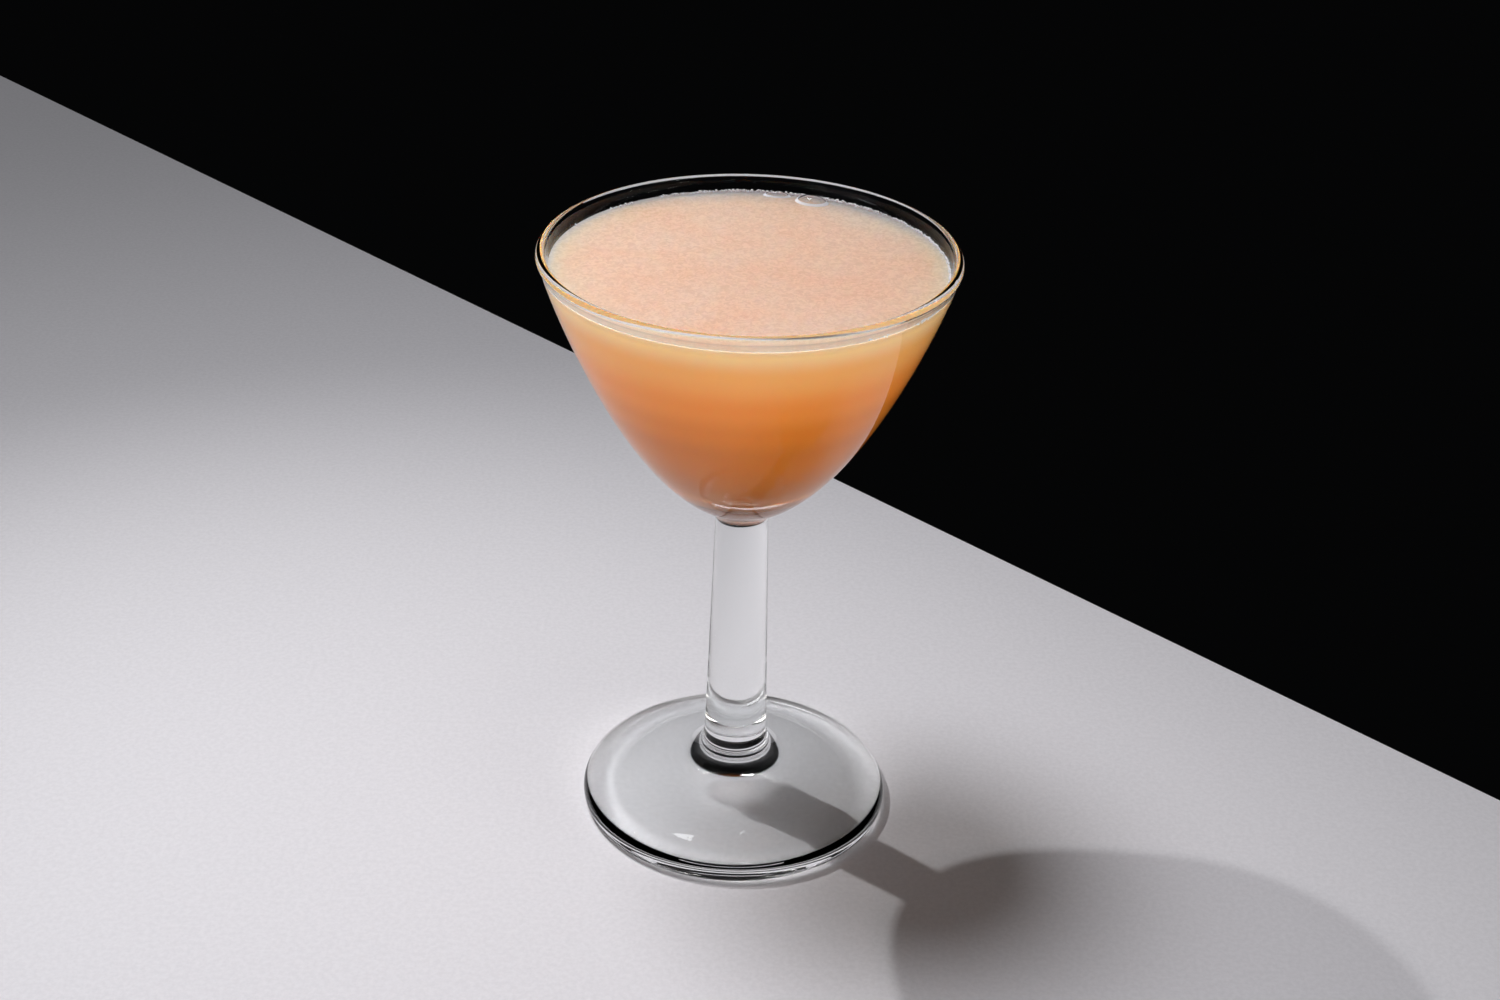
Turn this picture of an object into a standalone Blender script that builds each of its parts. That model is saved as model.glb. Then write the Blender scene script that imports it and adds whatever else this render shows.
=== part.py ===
"""Cocktail in a stemmed cocktail glass, standing on its foot.

Metres, +Z up. The origin is the centre of the foot's underside. Two sub-parts, each one closed solid:
glass (foot, stem, bowl and lip, pressed in one piece) and drink (the cocktail, with two large bubbles).
"""

import math

import bmesh
import bpy

# Driving sizes
GLASS_HEIGHT = 0.131
RIM_RADIUS = 0.042
LIP_RADIUS = 0.001  # the lip is a round bead, twice this thick
SEGMENTS = 64  # facets round the axis
SHARP_ANGLE = 40.0  # degrees: an edge that turns more than this stays sharp
WELD = 0.000001  # points closer than this become one

# Foot
FOOT_RADIUS = 0.0336
FOOT_EDGE = 0.0052  # thickness where the edge starts to round off
EDGE_HEIGHT = 0.0020  # of the widest point of the edge
EDGE_ROLL = 0.0042  # how far the rounding reaches in on top
EDGE_UNDER = 0.0020  # and underneath
FOOT_RING = 0.0064  # width of the flat ring that the glass stands on
FOOT_RISE = 0.0050  # how much the cone of the foot climbs from its edge to the middle of the flare
HOLLOW_DEPTH = 0.0045
EDGE_POINTS = 4  # in each quarter of the rounding
HOLLOW_POINTS = 5

# Stem
STEM_BASE_RADIUS = 0.0068
STEM_TOP_RADIUS = 0.00555
FLARE_RADIUS = 0.0075  # where the foot sweeps up into the stem
FLARE_POINTS = 6
NECK_WIDTH = 0.0030  # the short cone from the stem out to the underside of the bowl
NECK_HEIGHT = 0.0031
NECK_SWEEP = 1.25  # 1 makes it a straight cone, more than 1 a sweep that starts upright
NECK_GUARD = 0.0003  # a ring this far below keeps the long stem's shading straight
NECK_POINTS = 3

# Bowl: its outside and its inside are quarters of a superellipse
BOWL_BASE = 0.07177  # where the outside's curve would meet the axis
BOWL_INSIDE_BASE = 0.0820
SWELL_HIGH = 1.082
OUTSIDE_WIDE = 1.918
INSIDE_WIDE = 2.25  # the inside is fuller, so the wall thickens only near the bottom
BOWL_SHOULDER = 0.0020  # how far below the rim the bowl's curve ends
SHOULDER_RADIUS = 0.04155
INSIDE_RADIUS = 0.0398
BOWL_POINTS = 16
BOTTOM_CROWDING = 1.7  # above 1, the points lie closer together near the bottom
LIP_START = -30.0  # degrees: where the bead of the lip leaves the bowl's outside
LIP_POINTS = 7

# Drink
LEVEL_BELOW_RIM = 0.0034
GAP = 0.0003  # clearance between the drink and the glass
# Two bubbles at the far wall: radius of the ring on the drink, angle round the axis, height of the dome,
# and how narrow the wall makes the ring across, as a share of its length
BUBBLES = ((0.0037, 70.0, 0.0015, 0.68), (0.0030, 82.0, 0.0011, 0.45))
BUBBLE_ROOT = 0.0005  # how far each one reaches down into the drink
BUBBLE_SEGMENTS = 20
BUBBLE_POINTS = 4


def clear_scene():
    for thing in list(bpy.data.objects):
        bpy.data.objects.remove(thing, do_unlink=True)


def material(name, colour, roughness, transmission=0.0, ior=1.45):
    made = bpy.data.materials.new(name)
    made.use_nodes = True
    shader = made.node_tree.nodes["Principled BSDF"]
    shader.inputs["Base Color"].default_value = (*colour, 1.0)
    shader.inputs["Roughness"].default_value = roughness
    shader.inputs["Transmission Weight"].default_value = transmission
    shader.inputs["IOR"].default_value = ior
    made.diffuse_color = (*colour, 1.0)
    return made


def arc(centre_r, centre_z, radius, start, end, count, height=None):
    """Points of an arc, angles in degrees from the outward direction. A height makes it a flattened one."""
    high = radius if height is None else height
    points = []
    for i in range(count + 1):
        angle = math.radians(start + (end - start) * i / count)
        points.append((centre_r + radius * math.cos(angle), centre_z + high * math.sin(angle)))
    return points


def bowl_curve(base, radius, swell_wide):
    """The bowl's curve from its lowest point on the axis up to the shoulder below the lip."""
    top = GLASS_HEIGHT - BOWL_SHOULDER
    points = []
    for i in range(BOWL_POINTS + 1):
        share = (i / BOWL_POINTS) ** BOTTOM_CROWDING
        wide = (1.0 - (1.0 - share) ** SWELL_HIGH) ** (1.0 / swell_wide)
        points.append((radius * wide, base + (top - base) * share))
    return points


def outside_curve():
    return bowl_curve(BOWL_BASE, SHOULDER_RADIUS, OUTSIDE_WIDE)


def inside_curve():
    return bowl_curve(BOWL_INSIDE_BASE, INSIDE_RADIUS, INSIDE_WIDE)


def foot_profile():
    """From the axis under the foot, out over the flat ring and round the edge to the start of the cone."""
    ring_outer = FOOT_RADIUS - EDGE_UNDER
    ring_inner = ring_outer - FOOT_RING
    cone_outer = FOOT_RADIUS - EDGE_ROLL
    points = []
    for i in range(HOLLOW_POINTS):
        share = i / HOLLOW_POINTS
        points.append((ring_inner * share, HOLLOW_DEPTH * (1.0 - share**2)))
    points.append((ring_inner, 0.0))
    points += arc(ring_outer, EDGE_HEIGHT, EDGE_UNDER, -90, 0, EDGE_POINTS, EDGE_HEIGHT)
    over = arc(cone_outer, EDGE_HEIGHT, EDGE_ROLL, 0, 90, EDGE_POINTS, FOOT_EDGE - EDGE_HEIGHT)
    return points + over[1:]


def flare_profile():
    """The arc that is tangent to the foot's cone and to the stem."""
    cone_outer = FOOT_RADIUS - EDGE_ROLL
    centre_r = STEM_BASE_RADIUS + FLARE_RADIUS
    slope = math.atan2(FOOT_RISE, cone_outer - centre_r)
    start = math.radians(270) - slope
    touch_r = centre_r + FLARE_RADIUS * math.cos(start)
    touch_z = FOOT_EDGE + (cone_outer - touch_r) * math.tan(slope)
    centre_z = touch_z - FLARE_RADIUS * math.sin(start)
    return arc(centre_r, centre_z, FLARE_RADIUS, math.degrees(start), 180, FLARE_POINTS)


def neck_profile():
    """The short cone from the stem to the bowl, and the points of the bowl's outside beyond it."""
    beyond = [point for point in outside_curve() if point[0] > STEM_TOP_RADIUS + NECK_WIDTH]
    bowl_r, bowl_z = beyond[0]
    points = [(STEM_TOP_RADIUS, bowl_z - NECK_HEIGHT - NECK_GUARD)]
    for i in range(NECK_POINTS + 1):
        share = i / (NECK_POINTS + 1)
        r = STEM_TOP_RADIUS + (bowl_r - STEM_TOP_RADIUS) * share**NECK_SWEEP
        points.append((r, bowl_z - NECK_HEIGHT * (1.0 - share)))
    return points + beyond


def glass_profile():
    """The whole section, from the axis under the foot round the outside and back down inside the bowl."""
    lip_z = GLASS_HEIGHT - LIP_RADIUS
    lip_r = RIM_RADIUS - LIP_RADIUS
    points = foot_profile() + flare_profile() + neck_profile()
    points += arc(lip_r, lip_z, LIP_RADIUS, LIP_START, 180, LIP_POINTS)
    return points + inside_curve()[::-1]


def inset(points, distance):
    """The same curve moved in towards the axis and up, at right angles to itself."""
    moved = []
    for i, (r, z) in enumerate(points):
        before = points[max(i - 1, 0)]
        after = points[min(i + 1, len(points) - 1)]
        along_r = after[0] - before[0]
        along_z = after[1] - before[1]
        length = math.hypot(along_r, along_z)
        if i == 0:
            along_r, along_z, length = 1.0, 0.0, 1.0
        moved.append((r - distance * along_z / length, z + distance * along_r / length))
    return moved


def drink_profile():
    """The bowl's inside, less the clearance, up to the level and in along the surface to the axis."""
    level = GLASS_HEIGHT - LEVEL_BELOW_RIM
    wall = inset(inside_curve(), GAP)
    below = [point for point in wall if point[1] < level]
    low_r, low_z = below[-1]
    high_r, high_z = wall[len(below)]
    edge_r = low_r + (high_r - low_r) * (level - low_z) / (high_z - low_z)
    return below + [(edge_r, level), (0.0, level)]


def bubble_profile(ring, rise):
    """A short root below the surface and the cap of a ball above it, heights counted from the surface."""
    ball = (ring**2 + rise**2) / (2.0 * rise)
    start = math.degrees(math.asin((ball - rise) / ball))
    cap = arc(0.0, rise - ball, ball, start, 90, BUBBLE_POINTS)
    return [(0.0, -BUBBLE_ROOT), (ring, -BUBBLE_ROOT)] + cap[:-1] + [(0.0, rise)]


def finish(name, work, slot):
    """Make the object from a bmesh, shaded smooth apart from its real edges."""
    bmesh.ops.recalc_face_normals(work, faces=work.faces[:])
    mesh = bpy.data.meshes.new(name)
    work.to_mesh(mesh)
    work.free()
    mesh.materials.append(slot)
    mesh.shade_smooth()
    mesh.set_sharp_from_angle(angle=math.radians(SHARP_ANGLE))
    made = bpy.data.objects.new(name, mesh)
    bpy.context.scene.collection.objects.link(made)
    return made


def turned(name, profile, slot, segments=SEGMENTS):
    """Turn (radius, height) points that start and end on the axis into one closed solid."""
    work = bmesh.new()
    ends = [work.verts.new((r, 0.0, z)) for r, z in profile]
    for first, second in zip(ends, ends[1:]):
        work.edges.new((first, second))
    bmesh.ops.spin(
        work,
        geom=work.verts[:] + work.edges[:],
        cent=(0.0, 0.0, 0.0),
        axis=(0.0, 0.0, 1.0),
        angle=2.0 * math.pi,
        steps=segments,
        use_merge=True,
    )
    bmesh.ops.remove_doubles(work, verts=work.verts[:], dist=WELD)
    return finish(name, work, slot)


def add_bubbles(drink, slot):
    """Fuse the bubbles to the drink, each just inside the wall."""
    level = GLASS_HEIGHT - LEVEL_BELOW_RIM
    for number, (ring, angle, rise, narrow) in enumerate(BUBBLES, start=1):
        bubble = turned(f"bubble_{number}", bubble_profile(ring, rise), slot, BUBBLE_SEGMENTS)
        out = INSIDE_RADIUS - 2.0 * GAP - ring * narrow
        turn = math.radians(angle)
        bubble.location = (out * math.cos(turn), out * math.sin(turn), level)
        bubble.rotation_euler = (0.0, 0.0, turn)
        bubble.scale = (narrow, 1.0, 1.0)
        bubble.hide_render = True
        join = drink.modifiers.new(bubble.name, "BOOLEAN")
        join.operation = "UNION"
        join.solver = "EXACT"
        join.object = bubble


clear_scene()
glass_slot = material("clear_glass", (1.0, 1.0, 1.0), 0.0, transmission=1.0, ior=1.5)
drink_slot = material("cocktail", (0.78, 0.47, 0.26), 0.25, ior=1.34)
turned("glass", glass_profile(), glass_slot)
cocktail = turned("drink", drink_profile(), drink_slot)
add_bubbles(cocktail, drink_slot)
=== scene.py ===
# %% [markdown]
# # A cocktail in a stemmed glass
#
# The object is a cloudy, peach-coloured cocktail, poured nearly to the brim of a small pressed glass. Two
# solids carry it: the glass, one piece from foot to lip, and the drink. This script gives both of them their
# looks: a smoother glass that bends light, a drink that glows from inside, and the bubbles at its edge.
#
# Every size below is in metres, in the frame of the solids: Z is up, the foot stands on Z = 0.

# %% Load the solids
import math

import bmesh
import bpy
from mathutils import Matrix, Vector


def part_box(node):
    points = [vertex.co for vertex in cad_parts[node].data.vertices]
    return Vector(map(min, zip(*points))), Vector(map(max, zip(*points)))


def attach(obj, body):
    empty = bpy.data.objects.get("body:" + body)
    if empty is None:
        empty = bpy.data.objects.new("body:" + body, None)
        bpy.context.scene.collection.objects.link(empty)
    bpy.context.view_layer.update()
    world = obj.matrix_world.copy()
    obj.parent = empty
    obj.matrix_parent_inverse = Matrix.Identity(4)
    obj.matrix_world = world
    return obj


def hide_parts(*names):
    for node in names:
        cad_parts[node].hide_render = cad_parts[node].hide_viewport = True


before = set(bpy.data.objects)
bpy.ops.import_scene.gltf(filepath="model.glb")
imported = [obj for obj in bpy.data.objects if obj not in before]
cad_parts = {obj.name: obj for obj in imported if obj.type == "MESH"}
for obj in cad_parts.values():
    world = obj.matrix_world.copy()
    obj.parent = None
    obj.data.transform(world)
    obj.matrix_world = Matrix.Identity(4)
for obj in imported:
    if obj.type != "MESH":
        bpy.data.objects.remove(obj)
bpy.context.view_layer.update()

glass_low, glass_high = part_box("glass")
drink_low, drink_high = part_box("drink")
print("glass:", [round(high - low, 4) for low, high in zip(glass_low, glass_high)])
print("drink:", [round(high - low, 4) for low, high in zip(drink_low, drink_high)])

# %% [markdown]
# ## Driving sizes
#
# The height and the rim come from the solids themselves. The others repeat the values that the solids were
# made from, because a script that only reads the frame can't ask for them. Everything later is worked out
# from these, so the glass can be changed in one place.

# %% Sizes of the glass and the drink
MM = 0.001
GLASS_HEIGHT = glass_high[2]
RIM_RADIUS = glass_high[0]
LIP_RADIUS = 1.0 * MM  # the lip is a round bead
FOOT_RADIUS = 33.6 * MM
FOOT_EDGE = 5.2 * MM
EDGE_HEIGHT = 2.0 * MM
EDGE_ROLL = 4.2 * MM
EDGE_UNDER = 2.0 * MM
FOOT_RING = 6.4 * MM
FOOT_RISE = 5.0 * MM
HOLLOW_DEPTH = 4.5 * MM
STEM_BASE_RADIUS = 6.8 * MM
STEM_TOP_RADIUS = 5.55 * MM
FLARE_RADIUS = 7.5 * MM
NECK_WIDTH = 3.0 * MM
NECK_HEIGHT = 3.1 * MM
NECK_SWEEP = 1.25
NECK_GUARD = 0.3 * MM  # a ring this far below keeps the shading of the long stem straight
BOWL_BASE = 71.77 * MM
BOWL_INSIDE_BASE = 82.0 * MM
BOWL_SHOULDER = 2.0 * MM
SHOULDER_RADIUS = 41.55 * MM
INSIDE_RADIUS = 39.8 * MM
SWELL_HIGH = 1.082
OUTSIDE_WIDE = 1.918
INSIDE_WIDE = 2.25
LEVEL = GLASS_HEIGHT - 3.4 * MM
# Bubbles: radius of the ring, angle in degrees, rise, and how narrow the wall makes the ring across
BUBBLES = ((3.7 * MM, 70.0, 1.5 * MM, 0.68), (3.0 * MM, 82.0, 1.1 * MM, 0.45))
print("level of the drink:", round(LEVEL, 4), "below the rim:", round(GLASS_HEIGHT - LEVEL, 4))

# %% [markdown]
# ## The camera
#
# A lens of about 52 mm, 0.4 m in front of the glass and 0.3 m above the table, looks down at 29 degrees. The
# camera is also rolled by 1.9 degrees, as a hand-held one is. Blender keeps a camera's axes in its matrix, so
# the clean way to aim one is to work out its three axes and write them there.

# %% Camera
LENS_MM = 52.2
SENSOR_MM = 36.0
CAMERA_AWAY = 396.4 * MM
CAMERA_UP = 295.4 * MM
LOOK_DOWN = 0.5081  # this and the next two in radians
LOOK_RIGHT = 0.0040
ROLL = 0.0330


def camera_axes():
    """Right, up and forward of the camera, as unit vectors."""
    ahead = Vector((math.sin(LOOK_RIGHT) * math.cos(LOOK_DOWN),
                    math.cos(LOOK_RIGHT) * math.cos(LOOK_DOWN),
                    -math.sin(LOOK_DOWN)))
    level_right = Vector((math.cos(LOOK_RIGHT), -math.sin(LOOK_RIGHT), 0.0))
    level_up = level_right.cross(ahead)
    right = math.cos(ROLL) * level_right + math.sin(ROLL) * level_up
    up = math.cos(ROLL) * level_up - math.sin(ROLL) * level_right
    return right, up, ahead


lens = bpy.data.cameras.new("camera")
lens.sensor_width = SENSOR_MM
lens.lens = LENS_MM
camera = bpy.data.objects.new("camera", lens)
right, up, ahead = camera_axes()
aim = Matrix((right, up, -ahead)).transposed().to_4x4()
aim.translation = Vector((0.0, -CAMERA_AWAY, CAMERA_UP))
camera.matrix_world = aim
bpy.context.scene.collection.objects.link(camera)
bpy.context.scene.camera = camera
print("camera at", [round(value, 3) for value in camera.matrix_world.translation])

# %% [markdown]
# ## Small helpers for materials
#
# A material is a tree of nodes. Five short functions keep the recipes below readable: one starts an empty
# material, one adds a node with its settings, one lays out a colour ramp, and one adds a noise. The last
# turns a colour as a screen shows it into the values that shaders work in.

# %% Material helpers
def new_material(name):
    """An empty material: its node tree and its output node."""
    made = bpy.data.materials.new(name)
    made.use_nodes = True
    tree = made.node_tree
    tree.nodes.clear()
    return made, tree, tree.nodes.new("ShaderNodeOutputMaterial")


def add(tree, kind, **settings):
    """A node with its properties and its sockets' plain values set by name."""
    node = tree.nodes.new(kind)
    for name, value in settings.items():
        if name in node.bl_rna.properties:
            setattr(node, name, value)
        else:
            node.inputs[name.replace("_", " ")].default_value = value
    return node


def ramp(tree, factor, stops):
    """A colour ramp through (place, colour) stops, and its colour output."""
    node = tree.nodes.new("ShaderNodeValToRGB")
    node.color_ramp.interpolation = "EASE"
    points = node.color_ramp.elements
    while len(points) < len(stops):
        points.new(0.5)
    for point, (place, colour) in zip(points, stops):
        point.position = place
        point.color = (*colour, 1.0)
    tree.links.new(factor, node.inputs["Fac"])
    return node.outputs["Color"]


def noise(tree, vector, **settings):
    """A noise that follows a place, as one value."""
    node = add(tree, "ShaderNodeTexNoise", **settings)
    tree.links.new(vector, node.inputs["Vector"])
    return node.outputs["Fac"]


def linear(red, green, blue):
    """A colour as a screen shows it, 0 to 255, turned to the linear values that shaders work in."""
    values = []
    for part in (red, green, blue):
        share = part / 255.0
        values.append(share / 12.92 if share <= 0.04045 else ((share + 0.055) / 1.055) ** 2.4)
    return tuple(values)


print("a middle grey of the screen is", round(linear(128, 128, 128)[0], 3), "to a shader")

# %% [markdown]
# ## The table and the dark behind it
#
# Glass has no colour of its own. It shows what stands round it, bent and mirrored, so the surroundings are
# half of its look. Here a plain pale table runs under the glass and ends in a straight edge behind it, and
# beyond that it is dark. The dark gives the rim its black band and the bright line on top of it.
# The table's top lies a tenth of a millimetre under the foot, so that the two surfaces never coincide.

# %% Table
TABLE_DROP = 0.1 * MM
EDGE_FAR = Vector((-0.315, 0.478, 0.0))  # two points on the table's back edge
EDGE_NEAR = Vector((0.174, 0.005, 0.0))
TABLE_MARGIN = 0.5
TABLE_DEPTH = 1.3
TABLE_TINTS = ((0.25, linear(214, 212, 217)), (0.75, linear(222, 220, 225)))
TOOTH_SCALE = 900.0
TOOTH_STRENGTH = 0.08
TOOTH_DEPTH = 0.2 * MM


def table_mesh():
    """One large face with its back edge along the line through the two edge points."""
    along = (EDGE_NEAR - EDGE_FAR).normalized()
    front = Vector((along.y, -along.x, 0.0))
    back_left = EDGE_FAR - along * TABLE_MARGIN
    back_right = EDGE_NEAR + along * TABLE_MARGIN
    corners = [back_left, back_left + front * TABLE_DEPTH, back_right + front * TABLE_DEPTH, back_right]
    mesh = bpy.data.meshes.new("table")
    mesh.from_pydata([(p.x, p.y, -TABLE_DROP) for p in corners], [], [(0, 1, 2, 3)])
    return mesh


def table_material():
    """Matt pale grey board with a very fine tooth."""
    made, tree, output = new_material("table")
    shader = add(tree, "ShaderNodeBsdfPrincipled", Roughness=0.7, Specular_IOR_Level=0.2)
    place = add(tree, "ShaderNodeTexCoord").outputs["Object"]
    tooth = noise(tree, place, Scale=TOOTH_SCALE, Detail=3.0, Roughness=0.6)
    tint = ramp(tree, tooth, TABLE_TINTS)
    bump = add(tree, "ShaderNodeBump", Strength=TOOTH_STRENGTH, Distance=TOOTH_DEPTH)
    tree.links.new(tooth, bump.inputs["Height"])
    tree.links.new(tint, shader.inputs["Base Color"])
    tree.links.new(bump.outputs["Normal"], shader.inputs["Normal"])
    tree.links.new(shader.outputs["BSDF"], output.inputs["Surface"])
    return made


table = bpy.data.objects.new("table", table_mesh())
table.data.materials.append(table_material())
bpy.context.scene.collection.objects.link(table)
print("table from", [round(value, 2) for value in table.data.vertices[0].co])

# %% [markdown]
# ## Light
#
# The main lamp stands behind the glass on the left, half-way up the sky. It is small, so the shadows of stem
# and bowl fall to the front right with crisp edges. Higher up hang two large soft lamps. All three pour their
# light into the open top of the drink, which then glows from inside. Two low, wide strips on the left and the
# right of the camera fill the sides of the drink, and the rest of the room stays dark.
#
# A spot lamp with a soft edge makes a pool of light on the table. Its radius sets how soft its shadows are.
# Clear glass would mirror every lamp as a white patch. Blender can hide a lamp from mirror rays, and all but
# the main lamp are hidden so: the glass then keeps one small spark.

# %% Lamps and surroundings
LAMP_CENTRE = Vector((0.0, 0.0, 0.06))  # the distance of each lamp is counted from here
POOL = Vector((-0.06, -0.08, 0.0))  # the middle of the pool of light on the table
STRIP_WIDTH = 0.9
STRIP_HEIGHT = 0.14
STRIP_TINT = (1.0, 0.97, 0.93)
ROOM_COLOUR = (0.5, 0.52, 0.56, 1.0)
ROOM_BRIGHTNESS = 0.003


def towards(angle, height):
    """The direction to a lamp, its angle counted to the left from straight behind the glass."""
    turn, rise = math.radians(angle), math.radians(height)
    return Vector((-math.sin(turn) * math.cos(rise), math.cos(turn) * math.cos(rise), math.sin(rise)))


def lamp(name, kind, direction, away, size, power, tint, aim=LAMP_CENTRE, cone=0.0, tall=0.0, mirrored=True):
    """A disc, a strip or a spot: size is its width, tall the height of a strip, cone a spot's half angle."""
    data = bpy.data.lights.new(name, kind)
    data.energy = power
    data.color = tint
    if kind == "AREA":
        data.shape = "RECTANGLE" if tall else "DISK"
        data.size = size
        data.size_y = tall
    else:
        data.shadow_soft_size = size / 2.0
        data.spot_size = 2.0 * math.radians(cone)
        data.spot_blend = 1.0
    made = bpy.data.objects.new(name, data)
    made.location = LAMP_CENTRE + direction * away
    made.rotation_euler = (made.location - aim).to_track_quat("Z", "Y").to_euler()
    made.visible_glossy = mirrored
    bpy.context.scene.collection.objects.link(made)


key_side = towards(51.7, 52.4)
soft_side = towards(58.0, 70.0)
strips = (("strip_left", towards(125.0, 2.5), 5.0), ("strip_right", towards(235.0, 2.5), 7.5))
lamp("key", "SPOT", key_side, away=0.61, size=0.012, power=5.6, tint=(1.0, 0.99, 0.97), aim=POOL, cone=28.0)
lamp("pool", "SPOT", soft_side, away=1.3, size=0.5, power=43.0, tint=(0.98, 0.98, 1.0), aim=POOL, cone=16.0,
     mirrored=False)
lamp("soft", "AREA", soft_side, away=1.3, size=0.5, power=4.2, tint=(0.96, 0.98, 1.0), mirrored=False)
for name, direction, power in strips:
    lamp(name, "AREA", direction, away=1.1, size=STRIP_WIDTH, power=power, tint=STRIP_TINT, tall=STRIP_HEIGHT,
         mirrored=False)

surroundings = bpy.data.worlds.new("dark_room")
surroundings.use_nodes = True
background = surroundings.node_tree.nodes["Background"]
background.inputs["Color"].default_value = ROOM_COLOUR
background.inputs["Strength"].default_value = ROOM_BRIGHTNESS
bpy.context.scene.world = surroundings
bpy.context.scene.view_settings.view_transform = "Standard"

# %% [markdown]
# ## Outlines
#
# A pressed glass is a turned shape: half of its section, swept round the axis, gives all of it. The outline
# is made of arcs and of one formula, a quarter of a superellipse, for the bowl. A superellipse is an ellipse
# whose powers aren't 2, so that it can be fuller at the shoulder or more pointed at the bottom.

# %% Arc and bowl formula
BOWL_POINTS = 56
LIP_POINTS = 28
EDGE_POINTS = 14
FLARE_POINTS = 20
CONE_POINTS = 12
HOLLOW_POINTS = 16
NECK_POINTS = 10
BOTTOM_CROWDING = 1.7  # above 1, the points lie closer together at the bottom of the bowl
LIP_START = -30.0  # degrees: where the bead of the lip leaves the outside of the bowl


def arc(centre_r, centre_z, radius, start, end, count, height=None):
    """Points of an arc, angles in degrees from the outward direction. A height makes it a flattened one."""
    high = radius if height is None else height
    points = []
    for i in range(count + 1):
        angle = math.radians(start + (end - start) * i / count)
        points.append((centre_r + radius * math.cos(angle), centre_z + high * math.sin(angle)))
    return points


def bowl_curve(base, radius, swell_wide):
    """The bowl's curve from its lowest point on the axis up to the shoulder below the lip."""
    top = GLASS_HEIGHT - BOWL_SHOULDER
    points = []
    for i in range(BOWL_POINTS + 1):
        share = (i / BOWL_POINTS) ** BOTTOM_CROWDING
        wide = (1.0 - (1.0 - share) ** SWELL_HIGH) ** (1.0 / swell_wide)
        points.append((radius * wide, base + (top - base) * share))
    return points


def outside_curve():
    return bowl_curve(BOWL_BASE, SHOULDER_RADIUS, OUTSIDE_WIDE)


def inside_curve():
    return bowl_curve(BOWL_INSIDE_BASE, INSIDE_RADIUS, INSIDE_WIDE)


print("the bowl's outside ends at", [round(value, 4) for value in outside_curve()[-1]])

# %% Outline of the glass
def foot_outline():
    """From the axis under the foot, out over the ring that it stands on, and round the edge."""
    ring_outer = FOOT_RADIUS - EDGE_UNDER
    ring_inner = ring_outer - FOOT_RING
    cone_outer = FOOT_RADIUS - EDGE_ROLL
    points = []
    for i in range(HOLLOW_POINTS):
        share = i / HOLLOW_POINTS
        points.append((ring_inner * share, HOLLOW_DEPTH * (1.0 - share**2)))
    points.append((ring_inner, 0.0))
    points += arc(ring_outer, EDGE_HEIGHT, EDGE_UNDER, -90, 0, EDGE_POINTS, EDGE_HEIGHT)
    over = arc(cone_outer, EDGE_HEIGHT, EDGE_ROLL, 0, 90, EDGE_POINTS, FOOT_EDGE - EDGE_HEIGHT)
    return points + over[1:]


def flare_outline():
    """The foot's cone, and the arc that is tangent to it and to the stem."""
    cone_outer = FOOT_RADIUS - EDGE_ROLL
    centre_r = STEM_BASE_RADIUS + FLARE_RADIUS
    slope = math.atan2(FOOT_RISE, cone_outer - centre_r)
    start = math.radians(270) - slope
    touch_r = centre_r + FLARE_RADIUS * math.cos(start)
    touch_z = FOOT_EDGE + (cone_outer - touch_r) * math.tan(slope)
    centre_z = touch_z - FLARE_RADIUS * math.sin(start)
    cone = []
    for i in range(1, CONE_POINTS):
        share = i / CONE_POINTS
        cone.append((cone_outer + (touch_r - cone_outer) * share, FOOT_EDGE + (touch_z - FOOT_EDGE) * share))
    return cone + arc(centre_r, centre_z, FLARE_RADIUS, math.degrees(start), 180, FLARE_POINTS)


def neck_outline():
    """The short cone from the stem to the bowl, and the bowl's outside beyond it."""
    beyond = [point for point in outside_curve() if point[0] > STEM_TOP_RADIUS + NECK_WIDTH]
    bowl_r, bowl_z = beyond[0]
    points = [(STEM_TOP_RADIUS, bowl_z - NECK_HEIGHT - NECK_GUARD)]
    for i in range(NECK_POINTS + 1):
        share = i / (NECK_POINTS + 1)
        r = STEM_TOP_RADIUS + (bowl_r - STEM_TOP_RADIUS) * share**NECK_SWEEP
        points.append((r, bowl_z - NECK_HEIGHT * (1.0 - share)))
    return points + beyond


def glass_outline():
    """The whole section, up the outside and back down inside the bowl."""
    lip = arc(RIM_RADIUS - LIP_RADIUS, GLASS_HEIGHT - LIP_RADIUS, LIP_RADIUS, LIP_START, 180, LIP_POINTS)
    return foot_outline() + flare_outline() + neck_outline() + lip + inside_curve()[::-1]


print("points in the outline of the glass:", len(glass_outline()))

# %% [markdown]
# ## A tree that turns an outline
#
# The Screw modifier and the Spin tool both turn an outline. Geometry Nodes can do it too, and then the number
# of steps and the material are inputs that anyone can change. The trick is Curve to Mesh: the rail is a small
# circle, and the outline is the shape that is swept along it. The outline is laid down flat first, because
# Curve to Mesh reads a profile's X as outward from the rail and its Y as down.

# %% The turning tree
RAIL_RADIUS = 10.0 * MM
POLE_WELD = 0.002 * MM  # points closer than this become one, as at the two ends on the axis
QUARTER_TURN = math.pi / 2


def new_tree(name, inputs):
    """A Geometry Nodes tree with the named inputs, and its first and last nodes."""
    tree = bpy.data.node_groups.new(name, "GeometryNodeTree")
    tree.interface.new_socket("Geometry", in_out="INPUT", socket_type="NodeSocketGeometry")
    for label, kind in inputs:
        tree.interface.new_socket(label, in_out="INPUT", socket_type=kind)
    tree.interface.new_socket("Geometry", in_out="OUTPUT", socket_type="NodeSocketGeometry")
    return tree, tree.nodes.new("NodeGroupInput"), tree.nodes.new("NodeGroupOutput")


def in_line(tree, *nodes):
    """Link the first output of each node to the first input of the next."""
    for before, after in zip(nodes, nodes[1:]):
        tree.links.new(before.outputs[0], after.inputs[0])


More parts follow.
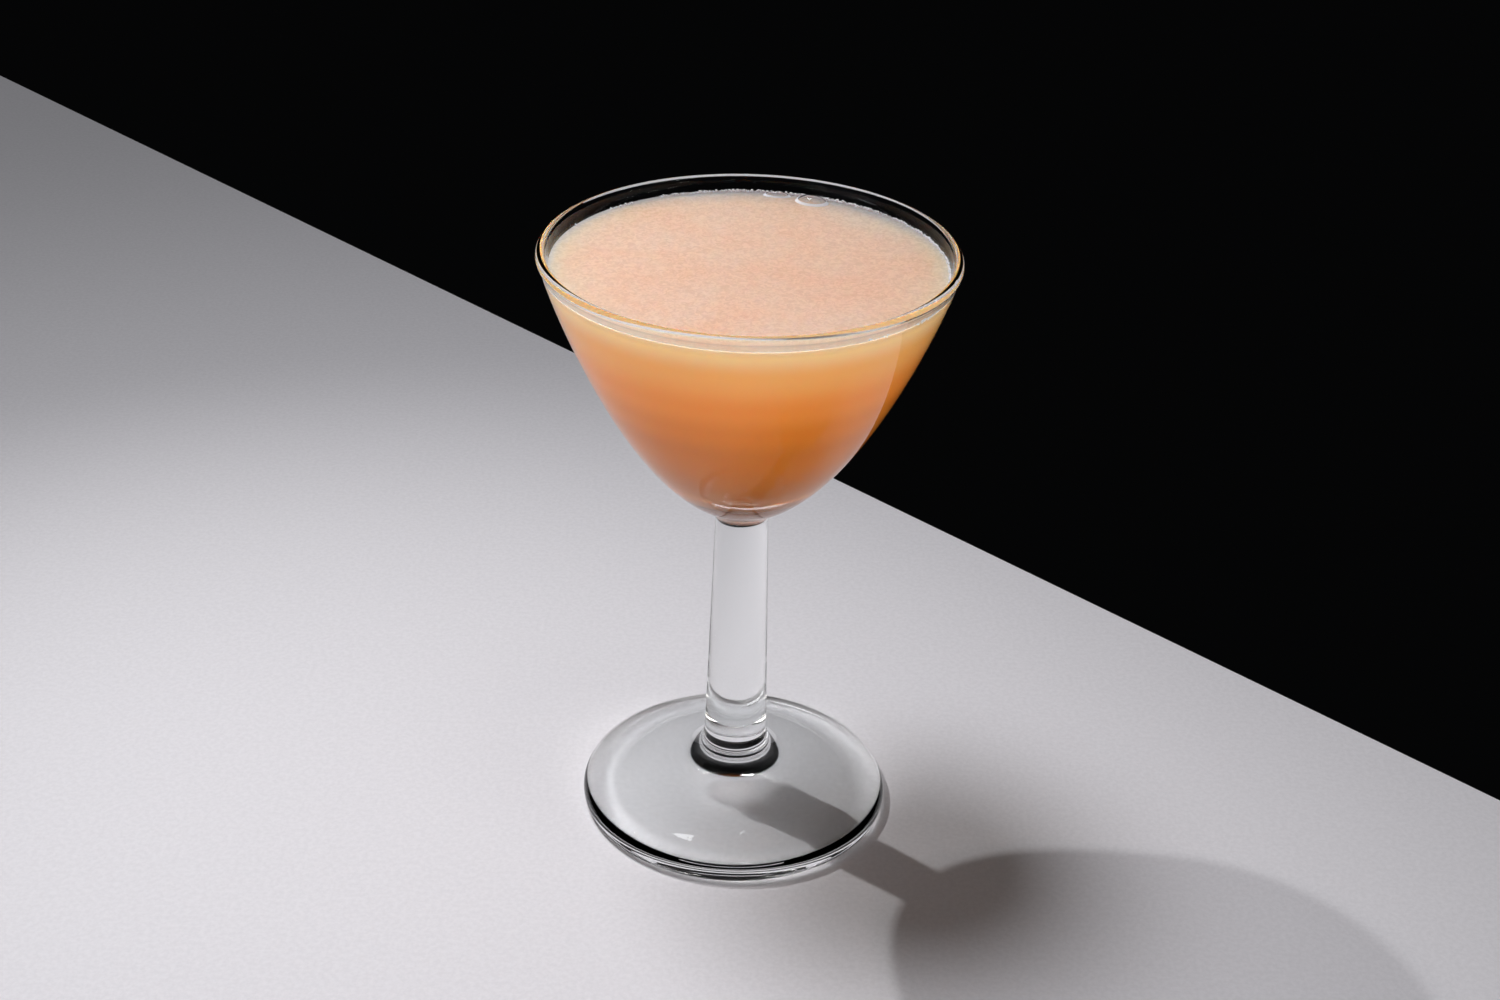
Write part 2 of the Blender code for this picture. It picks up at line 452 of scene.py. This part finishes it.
def turning_tree():
    """Sweep an outline once round the axis, close it at both ends, and give it a material."""
    inputs = (("Steps", "NodeSocketInt"), ("Material", "NodeSocketMaterial"))
    tree, start, end = new_tree("turn_an_outline", inputs)
    outline = add(tree, "GeometryNodeMeshToCurve")
    flat = add(tree, "GeometryNodeTransform", Translation=(-RAIL_RADIUS, 0.0, 0.0),
               Rotation=(QUARTER_TURN, 0.0, 0.0))
    rail = add(tree, "GeometryNodeCurvePrimitiveCircle", Radius=RAIL_RADIUS)
    upright = add(tree, "GeometryNodeSetCurveNormal", mode="Z_UP")
    sweep = add(tree, "GeometryNodeCurveToMesh")
    poles = add(tree, "GeometryNodeMergeByDistance", Distance=POLE_WELD)
    smooth = add(tree, "GeometryNodeSetShadeSmooth")
    real = add(tree, "GeometryNodeRealizeInstances")
    paint = add(tree, "GeometryNodeSetMaterial")
    in_line(tree, start, outline, flat)
    in_line(tree, rail, upright, sweep, poles, smooth, real, paint, end)
    tree.links.new(start.outputs["Steps"], rail.inputs["Resolution"])
    tree.links.new(flat.outputs["Geometry"], sweep.inputs["Profile Curve"])
    tree.links.new(start.outputs["Material"], paint.inputs["Material"])
    return tree


TURN = turning_tree()
print("turning tree:", len(TURN.nodes), "nodes")

# %% [markdown]
# ## From a tree to a plain mesh
#
# A modifier's inputs are set by the identifier of their socket, because two sockets may share a name. The
# evaluated object is then copied to a plain mesh. Its faces have to point outwards: the sum of the volumes
# under them is negative when they don't, and then they are all turned over.

# %% Bake a tree into a mesh
SHARP_ANGLE = math.radians(40)  # an edge that turns more than this stays sharp
CM3 = 1e-6  # a cubic centimetre, in cubic metres


def signed_volume(mesh):
    """The volume in a closed mesh, positive where its faces point outwards. Each triangle adds a pyramid, a
    sixth of the box that its three corners span from the origin."""
    mesh.calc_loop_triangles()
    total = 0.0
    for triangle in mesh.loop_triangles:
        a, b, c = (mesh.vertices[i].co for i in triangle.vertices)
        total += a.dot(b.cross(c)) / 6.0
    return total


def described(piece):
    """The number of faces of a piece and what is inside them, as words to print."""
    return f"{len(piece.data.polygons)} faces, volume {signed_volume(piece.data) / CM3:.1f} cm3"


def baked(name, start_mesh, tree, values):
    """Run a tree on a mesh with the given inputs, and return the result as a plain mesh object."""
    holder = bpy.data.objects.new(name + "_start", start_mesh)
    bpy.context.scene.collection.objects.link(holder)
    modifier = holder.modifiers.new("tree", "NODES")
    modifier.node_group = tree
    for item in tree.interface.items_tree:
        if item.in_out == "INPUT" and item.name in values:
            modifier[item.identifier] = values[item.name]
    bpy.context.view_layer.update()
    graph = bpy.context.evaluated_depsgraph_get()
    mesh = bpy.data.meshes.new_from_object(holder.evaluated_get(graph))
    mesh.name = name
    if signed_volume(mesh) < 0.0:
        mesh.flip_normals()
    holder.modifiers.remove(modifier)
    bpy.data.objects.remove(holder)
    made = bpy.data.objects.new(name, mesh)
    bpy.context.scene.collection.objects.link(made)
    return made


def turned(name, outline, steps, material):
    """A closed solid from a half outline that starts and ends on the axis."""
    line = bpy.data.meshes.new(name + "_outline")
    line.from_pydata([(r, 0.0, z) for r, z in outline], [(i, i + 1) for i in range(len(outline) - 1)], [])
    made = baked(name, line, TURN, {"Steps": steps, "Material": material})
    made.data.set_sharp_from_angle(angle=SHARP_ANGLE)
    return made


print("trees can be baked")

# %% [markdown]
# ## Clear glass
#
# The shader for glass is short: full transmission, no roughness, and the index of refraction of soda-lime
# glass. The harder part is its shadow. A renderer that sends straight rays to the lamps meets glass as if it
# were a wall, so everything behind it would go black. Real glass lets light straight through where it is
# flat, as over most of the foot and round the bowl, and throws it aside where it is steep or thick, as in the
# stem and at the edge of the foot. So each point of the glass carries a value, clear, that says how much lamp
# light goes straight on there. The shader uses it on two kinds of ray: shadow rays, and the rays that a matt
# surface sends out, because those would otherwise find the lamps a second time and count their light twice.
#
# A grey specular tint weakens what the glass mirrors where it is looked at squarely, as a polarising filter
# in front of a lens does. Looked at along its surface, and inside thick glass, it mirrors as strongly as
# ever.

# %% Glass material
GLASS_INDEX = 1.5
GLASS_COLOUR = (0.985, 0.995, 0.992, 1.0)
GLASS_SPECULAR = (0.4, 0.4, 0.4, 1.0)
LIGHT_THROUGH_GLASS = (0.93, 0.94, 0.94)


def let_light_pass(tree, shader, output, tint, share=None):
    """Mix in a plain see-through shader for rays between a matt surface and a lamp, and only for those."""
    open_way = add(tree, "ShaderNodeBsdfTransparent", Color=(*tint, 1.0))
    path = add(tree, "ShaderNodeLightPath")
    factor = add(tree, "ShaderNodeMath", operation="MAXIMUM")
    tree.links.new(path.outputs["Is Shadow Ray"], factor.inputs[0])
    tree.links.new(path.outputs["Is Diffuse Ray"], factor.inputs[1])
    if share is not None:
        part = add(tree, "ShaderNodeMath", operation="MULTIPLY")
        tree.links.new(factor.outputs["Value"], part.inputs[0])
        tree.links.new(share, part.inputs[1])
        factor = part
    mix = add(tree, "ShaderNodeMixShader")
    tree.links.new(factor.outputs["Value"], mix.inputs["Fac"])
    tree.links.new(shader.outputs["BSDF"], mix.inputs[1])
    tree.links.new(open_way.outputs["BSDF"], mix.inputs[2])
    tree.links.new(mix.outputs["Shader"], output.inputs["Surface"])


def glass_material():
    """Clear glass, with its value clear as the share of lamp light that goes straight on."""
    made, tree, output = new_material("clear_glass")
    shader = add(tree, "ShaderNodeBsdfPrincipled", Base_Color=GLASS_COLOUR, Roughness=0.0, IOR=GLASS_INDEX,
                 Transmission_Weight=1.0, Specular_Tint=GLASS_SPECULAR)
    clear = add(tree, "ShaderNodeAttribute", attribute_name="clear")
    let_light_pass(tree, shader, output, LIGHT_THROUGH_GLASS, clear.outputs["Fac"])
    return made


CLEAR_GLASS = glass_material()
print("glass: index of refraction", GLASS_INDEX)

# %% [markdown]
# ## The glass
#
# One turned piece replaces the glass solid. It has the same outline with more points, and 192 steps round, so
# that its reflections run smoothly. The value clear is then written to its points: 0 in the stem, in the neck
# above it and close to the edge of the foot, 1 in between and all over the bowl, with a short fade where they
# meet. The cone of the foot has rings of points of its own, since a value can only change from one point to
# the next.

# %% Glass piece
GLASS_STEPS = 192
THICK_STEM = 6.9 * MM  # below the bowl, lamp light doesn't go straight through nearer to the axis than this
THICK_EDGE = 3.2 * MM  # nor this near its edge
FADE = 1.0 * MM
BOWL_FROM = 80.0 * MM  # above this all is bowl, and lamp light goes straight through


def share_between(value, low, high):
    """0 up to low, 1 from high on, and even steps in between."""
    return min(max((value - low) / (high - low), 0.0), 1.0)


def write_clear(piece):
    """How much lamp light passes straight through at each point."""
    values = []
    for vertex in piece.data.vertices:
        out = vertex.co.to_2d().length
        if vertex.co.z > BOWL_FROM:
            values.append(1.0)
        else:
            past_stem = share_between(out, THICK_STEM, THICK_STEM + FADE)
            before_edge = share_between(FOOT_RADIUS - out, THICK_EDGE, THICK_EDGE + FADE)
            values.append(past_stem * before_edge)
    layer = piece.data.attributes.new("clear", "FLOAT", "POINT")
    layer.data.foreach_set("value", values)


glass = turned("glass_clear", glass_outline(), GLASS_STEPS, CLEAR_GLASS)
write_clear(glass)
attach(glass, "root")
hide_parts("glass")
print("glass piece:", described(glass))

# %% [markdown]
# ## The drink
#
# A liquid has no shape of its own: it takes the glass's inside, and its top is level, apart from the last
# millimetre at the wall, where it climbs a little. That climbing edge is called the meniscus. The piece
# reaches a few hundredths of a millimetre into the glass, because a gap there would show as a film of air.
#
# The cocktail is cloudy. Light enters it, is scattered by fine pulp and citrus oil, and comes out somewhere
# else. The farther it has travelled, the more blue and green it has lost, so the drink looks pale peach near
# the lit surface and orange-brown at the bottom. Subsurface scattering does the travelling, and a ramp on the
# height paints that shade into the colour as well: painted shade, darker towards the bottom.
#
# There are two materials on the one piece. The top meets air, so its index of refraction is that of water
# with sugar, and it shows flecks of fine pulp and a painted greyer shade towards the far wall. The sides meet
# glass, which bends light more than the drink does. The index there is the drink's divided by the glass's,
# 0.9, and with it the side shows no false shine. The highest line of the side is darkened with painted shade.

# %% Colours of the drink
# Painted shade by height, darker towards the bottom: from the bottom of the bowl at 0 to the level at 1
PAINTED_SHADE_BY_HEIGHT = (
    (0.00, (0.36, 0.120, 0.030)),
    (0.38, (0.60, 0.175, 0.020)),
    (0.52, (0.74, 0.225, 0.026)),
    (0.66, (0.87, 0.30, 0.052)),
    (0.86, (0.98, 0.465, 0.140)),
    (0.96, (0.98, 0.575, 0.31)),
)
TOP_COLOUR = (0.97, 0.68, 0.53)
# Painted shade: the side's highest line, seen through the glass, is darkened to brown
SIDE_EDGE_PAINTED_SHADE = (0.70, 0.40, 0.24)  # the highest line of the side, seen through the glass

# On the top alone: flecks of pulp, faint clouds, and painted shade by distance from a spot in front of the
# axis
FLECK_TINTS = ((0.35, (0.88, 0.84, 0.82)), (0.65, (1.0, 1.0, 1.0)))
CLOUD_TINTS = ((0.30, (1.0, 0.93, 0.89)), (0.70, (0.97, 1.0, 1.02)))
FAR_PAINTED_SHADE = (
    (0.00, (1.0, 0.98, 0.97)),
    (0.60, (1.0, 1.0, 1.0)),
    (0.84, (0.97, 0.98, 0.99)),
    (0.93, (0.86, 0.87, 0.94)),
    (1.00, (0.74, 0.74, 0.84)),
)
FLECK_SCALE = 800.0
CLOUD_SCALE = 55.0
SHADE_FORWARD = 8.0 * MM  # how far in front of the axis that spot lies
print("the drink deepens through", len(PAINTED_SHADE_BY_HEIGHT) + 1, "colours")

# %% Tints and painted shade of the top
def scaled(tree, value, low, high):
    """A value mapped so that low becomes 0 and high becomes 1."""
    node = add(tree, "ShaderNodeMapRange", From_Min=low, From_Max=high)
    tree.links.new(value, node.inputs["Value"])
    return node.outputs["Result"]


def multiplied(tree, first, second):
    """The product of two colours."""
    node = add(tree, "ShaderNodeMix", data_type="RGBA", blend_type="MULTIPLY")
    # The node has a set of sockets for each kind of value: inputs 6 and 7 and output 2 are its colours
    node.inputs[0].default_value = 1.0
    tree.links.new(first, node.inputs[6])
    tree.links.new(second, node.inputs[7])
    return node.outputs[2]


def far_share(tree, vector):
    """How far a point lies from a spot in front of the axis: 1 at the far wall, and less at the near one."""
    flat = add(tree, "ShaderNodeVectorMath", operation="MULTIPLY_ADD")
    flat.inputs[1].default_value = (1.0, 1.0, 0.0)
    flat.inputs[2].default_value = (0.0, SHADE_FORWARD, 0.0)
    length = add(tree, "ShaderNodeVectorMath", operation="LENGTH")
    tree.links.new(vector, flat.inputs[0])
    tree.links.new(flat.outputs["Vector"], length.inputs[0])
    return scaled(tree, length.outputs["Value"], 0.0, INSIDE_RADIUS + SHADE_FORWARD)


def top_tints_and_shade(tree, place):
    """The three tints that only the top shows: flecks, clouds, and painted shade towards the far wall."""
    flecks = noise(tree, place, Scale=FLECK_SCALE, Detail=3.0, Roughness=0.6, Distortion=1.5)
    clouds = noise(tree, place, Scale=CLOUD_SCALE, Detail=3.0, Roughness=0.5)
    return (
        ramp(tree, flecks, FLECK_TINTS),
        ramp(tree, clouds, CLOUD_TINTS),
        ramp(tree, far_share(tree, place), FAR_PAINTED_SHADE),
    )


print("the far wall lies", round((INSIDE_RADIUS + SHADE_FORWARD) / MM, 1), "mm from that spot")

# %% Drink material
TOP_INDEX = 1.34
INDEX_IN_GLASS = 0.9  # about the first divided by the index of the glass
TOP_ROUGHNESS = 0.02
SIDE_ROUGHNESS = 0.0
SCATTER_LENGTH = 14.0 * MM
SCATTER_SHARES = (1.0, 0.70, 0.45)  # of that length, for red, green and blue light


def drink_material(name, roughness, index):
    """The cloudy drink: its top meets air and has an index above 1, its side meets glass."""
    on_top = index > 1.0
    made, tree, output = new_material(name)
    shader = add(tree, "ShaderNodeBsdfPrincipled", Roughness=roughness, IOR=index, Subsurface_Weight=1.0,
                 Subsurface_Scale=SCATTER_LENGTH, Subsurface_Anisotropy=0.0)
    shader.inputs["Subsurface Radius"].default_value = SCATTER_SHARES
    place = add(tree, "ShaderNodeTexCoord").outputs["Object"]
    apart = add(tree, "ShaderNodeSeparateXYZ")
    tree.links.new(place, apart.inputs["Vector"])
    height = scaled(tree, apart.outputs["Z"], BOWL_INSIDE_BASE, LEVEL)
    # Painted shade: the ramp darkens the drink by height, and on the side also at its highest line
    highest = TOP_COLOUR if on_top else SIDE_EDGE_PAINTED_SHADE
    colour = ramp(tree, height, PAINTED_SHADE_BY_HEIGHT + ((1.0, highest),))
    if on_top:
        for tint in top_tints_and_shade(tree, place):
            colour = multiplied(tree, colour, tint)
    tree.links.new(colour, shader.inputs["Base Color"])
    tree.links.new(shader.outputs["BSDF"], output.inputs["Surface"])
    return made


DRINK_TOP = drink_material("cocktail_top", TOP_ROUGHNESS, TOP_INDEX)
DRINK_IN_GLASS = drink_material("cocktail_in_glass", SIDE_ROUGHNESS, INDEX_IN_GLASS)
print("index of the drink against air:", TOP_INDEX, "and against glass:", INDEX_IN_GLASS)

# %% Drink piece
DRINK_STEPS = 160
INTO_WALL = 0.05 * MM
MENISCUS_RISE = 0.2 * MM
MENISCUS_REACH = 0.8 * MM
SURFACE_POINTS = 40
WALL_CROWDING = 3  # above 1, the points of the top lie closer together near the wall


def inset(points, distance):
    """The same curve moved in towards the axis and up, at right angles to itself."""
    moved = []
    for i, (r, z) in enumerate(points):
        before = points[max(i - 1, 0)]
        after = points[min(i + 1, len(points) - 1)]
        along_r = after[0] - before[0]
        along_z = after[1] - before[1]
        length = math.hypot(along_r, along_z)
        if i == 0:
            along_r, along_z, length = 1.0, 0.0, 1.0
        moved.append((r - distance * along_z / length, z + distance * along_r / length))
    return moved


def surface_outline(wall_r):
    """The top from the wall to the axis: a climbing edge, then level."""
    points = []
    for i in range(SURFACE_POINTS + 1):
        inward = wall_r * (i / SURFACE_POINTS) ** WALL_CROWDING
        climb = MENISCUS_RISE * math.exp(-inward / MENISCUS_REACH)
        points.append((wall_r - inward, LEVEL + climb))
    return points


def drink_outline():
    """Up the inside of the wall from the axis, then in along the top."""
    wall = inset(inside_curve(), -INTO_WALL)
    below = [point for point in wall if point[1] < LEVEL]
    return below + surface_outline(INSIDE_RADIUS + INTO_WALL)


drink = turned("cocktail", drink_outline(), DRINK_STEPS, DRINK_TOP)
drink.data.materials.append(DRINK_IN_GLASS)
for face in drink.data.polygons:
    if face.normal.z < 0.0:
        face.material_index = 1
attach(drink, "root")
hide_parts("drink")
print("drink piece:", described(drink))

# %% [markdown]
# ## Two large bubbles
#
# Shaking leaves bubbles. Two of the large ones have drifted to the far wall: thin films, a few hundredths of
# a millimetre thick, each shaped as the cap of a ball. The wall cuts into that round shape, and narrowing
# each cap towards the wall gives the look of it with the simplest mesh. A film bends light hardly at all, so
# a bubble is seen only by its highlights and by its foot, a line of white foam where it stands on the drink.
# That white foam is also a painted highlight: it stands in for the bright edge that the film mirrors there.
# Each is a turned shell with an outside and an inside, moved to its place as a mesh, so that the object
# itself stays at the origin.

# %% Film and foam
WATER_INDEX = 1.33
LIGHT_THROUGH_FILM = (0.97, 0.97, 0.97)
LIGHT_THROUGH_FOAM = (0.8, 0.8, 0.8)
FOAM_COLOUR = (0.95, 0.93, 0.98, 1.0)


def film_material():
    """A thin film of water, as clear as glass."""
    made, tree, output = new_material("film")
    shader = add(tree, "ShaderNodeBsdfPrincipled", Base_Color=(1.0, 1.0, 1.0, 1.0), Roughness=0.0,
                 IOR=WATER_INDEX, Transmission_Weight=1.0)
    let_light_pass(tree, shader, output, LIGHT_THROUGH_FILM)
    return made


def foam_material():
    """Tiny bubbles together look like a milky, shining paste."""
    made, tree, output = new_material("foam")
    shader = add(tree, "ShaderNodeBsdfPrincipled", Base_Color=FOAM_COLOUR, Roughness=0.05, IOR=WATER_INDEX,
                 Transmission_Weight=0.15)
    let_light_pass(tree, shader, output, LIGHT_THROUGH_FOAM)
    return made


BUBBLE_FILM = film_material()
FOAM = foam_material()
print("film and foam have the index of water,", WATER_INDEX)

# %% Bubble films
FILM = 0.04 * MM
FILM_POINTS = 14
FILM_STEPS = 48
FILM_FOOT = 0.32 * MM  # width and height of the foamy line where the film meets the drink
FROM_WALL = 0.25 * MM


def cap(ring, rise):
    """The quarter outline of a cap of a ball, from its ring to its top, heights counted from the ring."""
    ball = (ring**2 + rise**2) / (2.0 * rise)
    start = math.degrees(math.asin((ball - rise) / ball))
    return arc(0.0, rise - ball, ball, start, 90, FILM_POINTS)


def film_outline(ring, rise):
    """From the top of the inside down to the ring, round its thicker foot, and up the outside."""
    inner = [(r, max(z, 0.0)) for r, z in cap(ring - FILM_FOOT, rise - FILM)]
    outer = cap(ring, rise)
    inner[-1] = (0.0, inner[-1][1])
    outer[-1] = (0.0, outer[-1][1])
    return inner[::-1] + outer


def joined(name, pieces):
    """One object out of several, their meshes put together."""
    work = bmesh.new()
    for piece in pieces:
        work.from_mesh(piece.data)
    mesh = bpy.data.meshes.new(name)
    work.to_mesh(mesh)
    work.free()
    for material in pieces[0].data.materials:
        mesh.materials.append(material)
    for piece in pieces:
        bpy.data.objects.remove(piece)
    made = bpy.data.objects.new(name, mesh)
    bpy.context.scene.collection.objects.link(made)
    return made


films = []
for ring, angle, rise, narrow in BUBBLES:
    film = turned("film", film_outline(ring, rise), FILM_STEPS, BUBBLE_FILM)
    film.data.materials.append(FOAM)
    # Partly a painted highlight: the foot of each film gets the white foam, in place of the bright edge it
    # mirrors
    for face in film.data.polygons:
        if face.center.z < FILM_FOOT:
            face.material_index = 1
    out = INSIDE_RADIUS - FROM_WALL - ring * narrow
    film.data.transform(Matrix.Diagonal((narrow, 1.0, 1.0, 1.0)))
    film.data.transform(Matrix.Translation((out, 0.0, LEVEL)))
    film.data.transform(Matrix.Rotation(math.radians(angle), 4, "Z"))
    films.append(film)
bubbles = joined("bubble_films", films)
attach(bubbles, "root")
print("bubble films:", len(bubbles.data.polygons), "faces")

# %% [markdown]
# ## A chain of tiny bubbles
#
# Hundreds of bubbles, all smaller than a millimetre, cling to the wall where the drink ends, thick in some
# places and missing in others. That is work for Geometry Nodes: a circle gives the points, a noise thins them
# out, and every point left gets a small ball of its own size. Fixed seeds keep the chain the same each time.

# %% Numbers of the chain
CHAIN_POINTS = 3400
CHAIN_SEED = 4
CHAIN_FROM_WALL = 0.15 * MM
CHAIN_SMALLEST = 0.10 * MM  # radius of the smallest ball, and of the largest
CHAIN_LARGEST = 0.36 * MM
CHAIN_BAND = 0.30 * MM  # about how far the balls stray from the edge of the drink
STRAY_IN = 30.0  # towards the axis: the band times this, for each metre of the ring's radius
STRAY_UP = 0.8  # up or down: as a share of the band
FULLER_RIGHT = 10.0  # how much fuller the chain gets for each metre to the right
FULLER_BACK = 11.0  # and to the back
CLUMP_SCALE = 170.0  # of the noise that gathers the balls in clumps
CLUMP_STRENGTH = 2.4
THINNED_BY = 1.15  # a larger number leaves longer gaps
SMALL_OFTEN = 2.0  # above 1, there are more small balls than large ones
BALL_SEGMENTS = 8
BALL_RINGS = 5
print("the chain starts from", CHAIN_POINTS, "points")

# %% What each point of the chain does
def math_node(tree, operation, first, second):
    """A sum, product or comparison of two values or sockets."""
    node = add(tree, "ShaderNodeMath", operation=operation)
    for socket, value in zip(node.inputs, (first, second)):
        if isinstance(value, (int, float)):
            socket.default_value = value
        else:
            tree.links.new(value, socket)
    return node.outputs["Value"]


def random_value(tree, low, high, seed, seed_step):
    """A random number for each point."""
    node = add(tree, "FunctionNodeRandomValue", data_type="FLOAT")
    # Here inputs 2 and 3 and output 1 are the plain numbers
    node.inputs[2].default_value = low
    node.inputs[3].default_value = high
    tree.links.new(math_node(tree, "ADD", seed, seed_step), node.inputs["Seed"])
    return node.outputs[1]


def missing_points(tree, place, seed):
    """True where a point is left out: how full the ring is depends on the side, and it comes in clumps."""
    apart = add(tree, "ShaderNodeSeparateXYZ")
    tree.links.new(place, apart.inputs["Vector"])
    right = math_node(tree, "MULTIPLY", apart.outputs["X"], FULLER_RIGHT)
    back = math_node(tree, "MULTIPLY", apart.outputs["Y"], FULLER_BACK)
    side = math_node(tree, "ADD", right, back)
    clumps = math_node(tree, "MULTIPLY", noise(tree, place, Scale=CLUMP_SCALE, Detail=2.0), CLUMP_STRENGTH)
    full = math_node(tree, "SUBTRACT", math_node(tree, "ADD", side, clumps), THINNED_BY)
    return math_node(tree, "GREATER_THAN", random_value(tree, 0.0, 1.0, seed, 0), full)


def strayed(tree, place, start):
    """The way from a point of the ring to its ball: inwards, up to the drink, and a little off."""
    seed, band = start.outputs["Seed"], start.outputs["Band"]
    inward = add(tree, "ShaderNodeVectorMath", operation="SCALE")
    tree.links.new(place, inward.inputs[0])
    tree.links.new(math_node(tree, "MULTIPLY", band, random_value(tree, -STRAY_IN, 0.0, seed, 1)),
                   inward.inputs["Scale"])
    off = math_node(tree, "MULTIPLY", band, random_value(tree, -STRAY_UP, STRAY_UP, seed, 2))
    lift = add(tree, "ShaderNodeCombineXYZ")
    tree.links.new(math_node(tree, "ADD", start.outputs["Height"], off), lift.inputs["Z"])
    shift = add(tree, "ShaderNodeVectorMath", operation="ADD")
    tree.links.new(inward.outputs["Vector"], shift.inputs[0])
    tree.links.new(lift.outputs["Vector"], shift.inputs[1])
    return shift.outputs["Vector"]


def ball_size(tree, start):
    """A radius between the smallest and the largest."""
    even = random_value(tree, 0.0, 1.0, start.outputs["Seed"], 3)
    reach = math_node(tree, "SUBTRACT", start.outputs["Largest"], start.outputs["Smallest"])
    above = math_node(tree, "MULTIPLY", reach, math_node(tree, "POWER", even, SMALL_OFTEN))
    return math_node(tree, "ADD", start.outputs["Smallest"], above)


print("a point can stray inwards by", round(CHAIN_BAND * STRAY_IN * INSIDE_RADIUS / MM, 2), "mm")

# %% Bubble chain
CHAIN_INPUTS = (
    ("Count", "NodeSocketInt"),
    ("Radius", "NodeSocketFloat"),
    ("Height", "NodeSocketFloat"),
    ("Smallest", "NodeSocketFloat"),
    ("Largest", "NodeSocketFloat"),
    ("Band", "NodeSocketFloat"),
    ("Seed", "NodeSocketInt"),
    ("Material", "NodeSocketMaterial"),
)


def chain_tree():
    """A ring of small balls, denser towards the back and right, on the edge of the drink."""
    tree, start, end = new_tree("bubble_chain", CHAIN_INPUTS)
    place = add(tree, "GeometryNodeInputPosition").outputs["Position"]
    circle = add(tree, "GeometryNodeMeshCircle")
    thin = add(tree, "GeometryNodeDeleteGeometry", domain="POINT")
    move = add(tree, "GeometryNodeSetPosition")
    ball = add(tree, "GeometryNodeMeshUVSphere", Radius=1.0, Segments=BALL_SEGMENTS, Rings=BALL_RINGS)
    balls = add(tree, "GeometryNodeInstanceOnPoints")
    real = add(tree, "GeometryNodeRealizeInstances")
    smooth = add(tree, "GeometryNodeSetShadeSmooth")
    paint = add(tree, "GeometryNodeSetMaterial")
    in_line(tree, circle, thin, move, balls, real, smooth, paint, end)
    tree.links.new(start.outputs["Count"], circle.inputs["Vertices"])
    tree.links.new(start.outputs["Radius"], circle.inputs["Radius"])
    tree.links.new(missing_points(tree, place, start.outputs["Seed"]), thin.inputs["Selection"])
    tree.links.new(strayed(tree, place, start), move.inputs["Offset"])
    tree.links.new(ball.outputs["Mesh"], balls.inputs["Instance"])
    tree.links.new(ball_size(tree, start), balls.inputs["Scale"])
    tree.links.new(start.outputs["Material"], paint.inputs["Material"])
    return tree


CHAIN_VALUES = {
    "Count": CHAIN_POINTS,
    "Radius": INSIDE_RADIUS - CHAIN_FROM_WALL,
    "Height": LEVEL + MENISCUS_RISE,
    "Smallest": CHAIN_SMALLEST,
    "Largest": CHAIN_LARGEST,
    "Band": CHAIN_BAND,
    "Seed": CHAIN_SEED,
    "Material": FOAM,
}
chain = baked("bubble_chain", bpy.data.meshes.new("chain_start"), chain_tree(), CHAIN_VALUES)
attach(chain, "root")
print("bubble chain:", len(chain.data.polygons) // (BALL_SEGMENTS * BALL_RINGS), "balls")
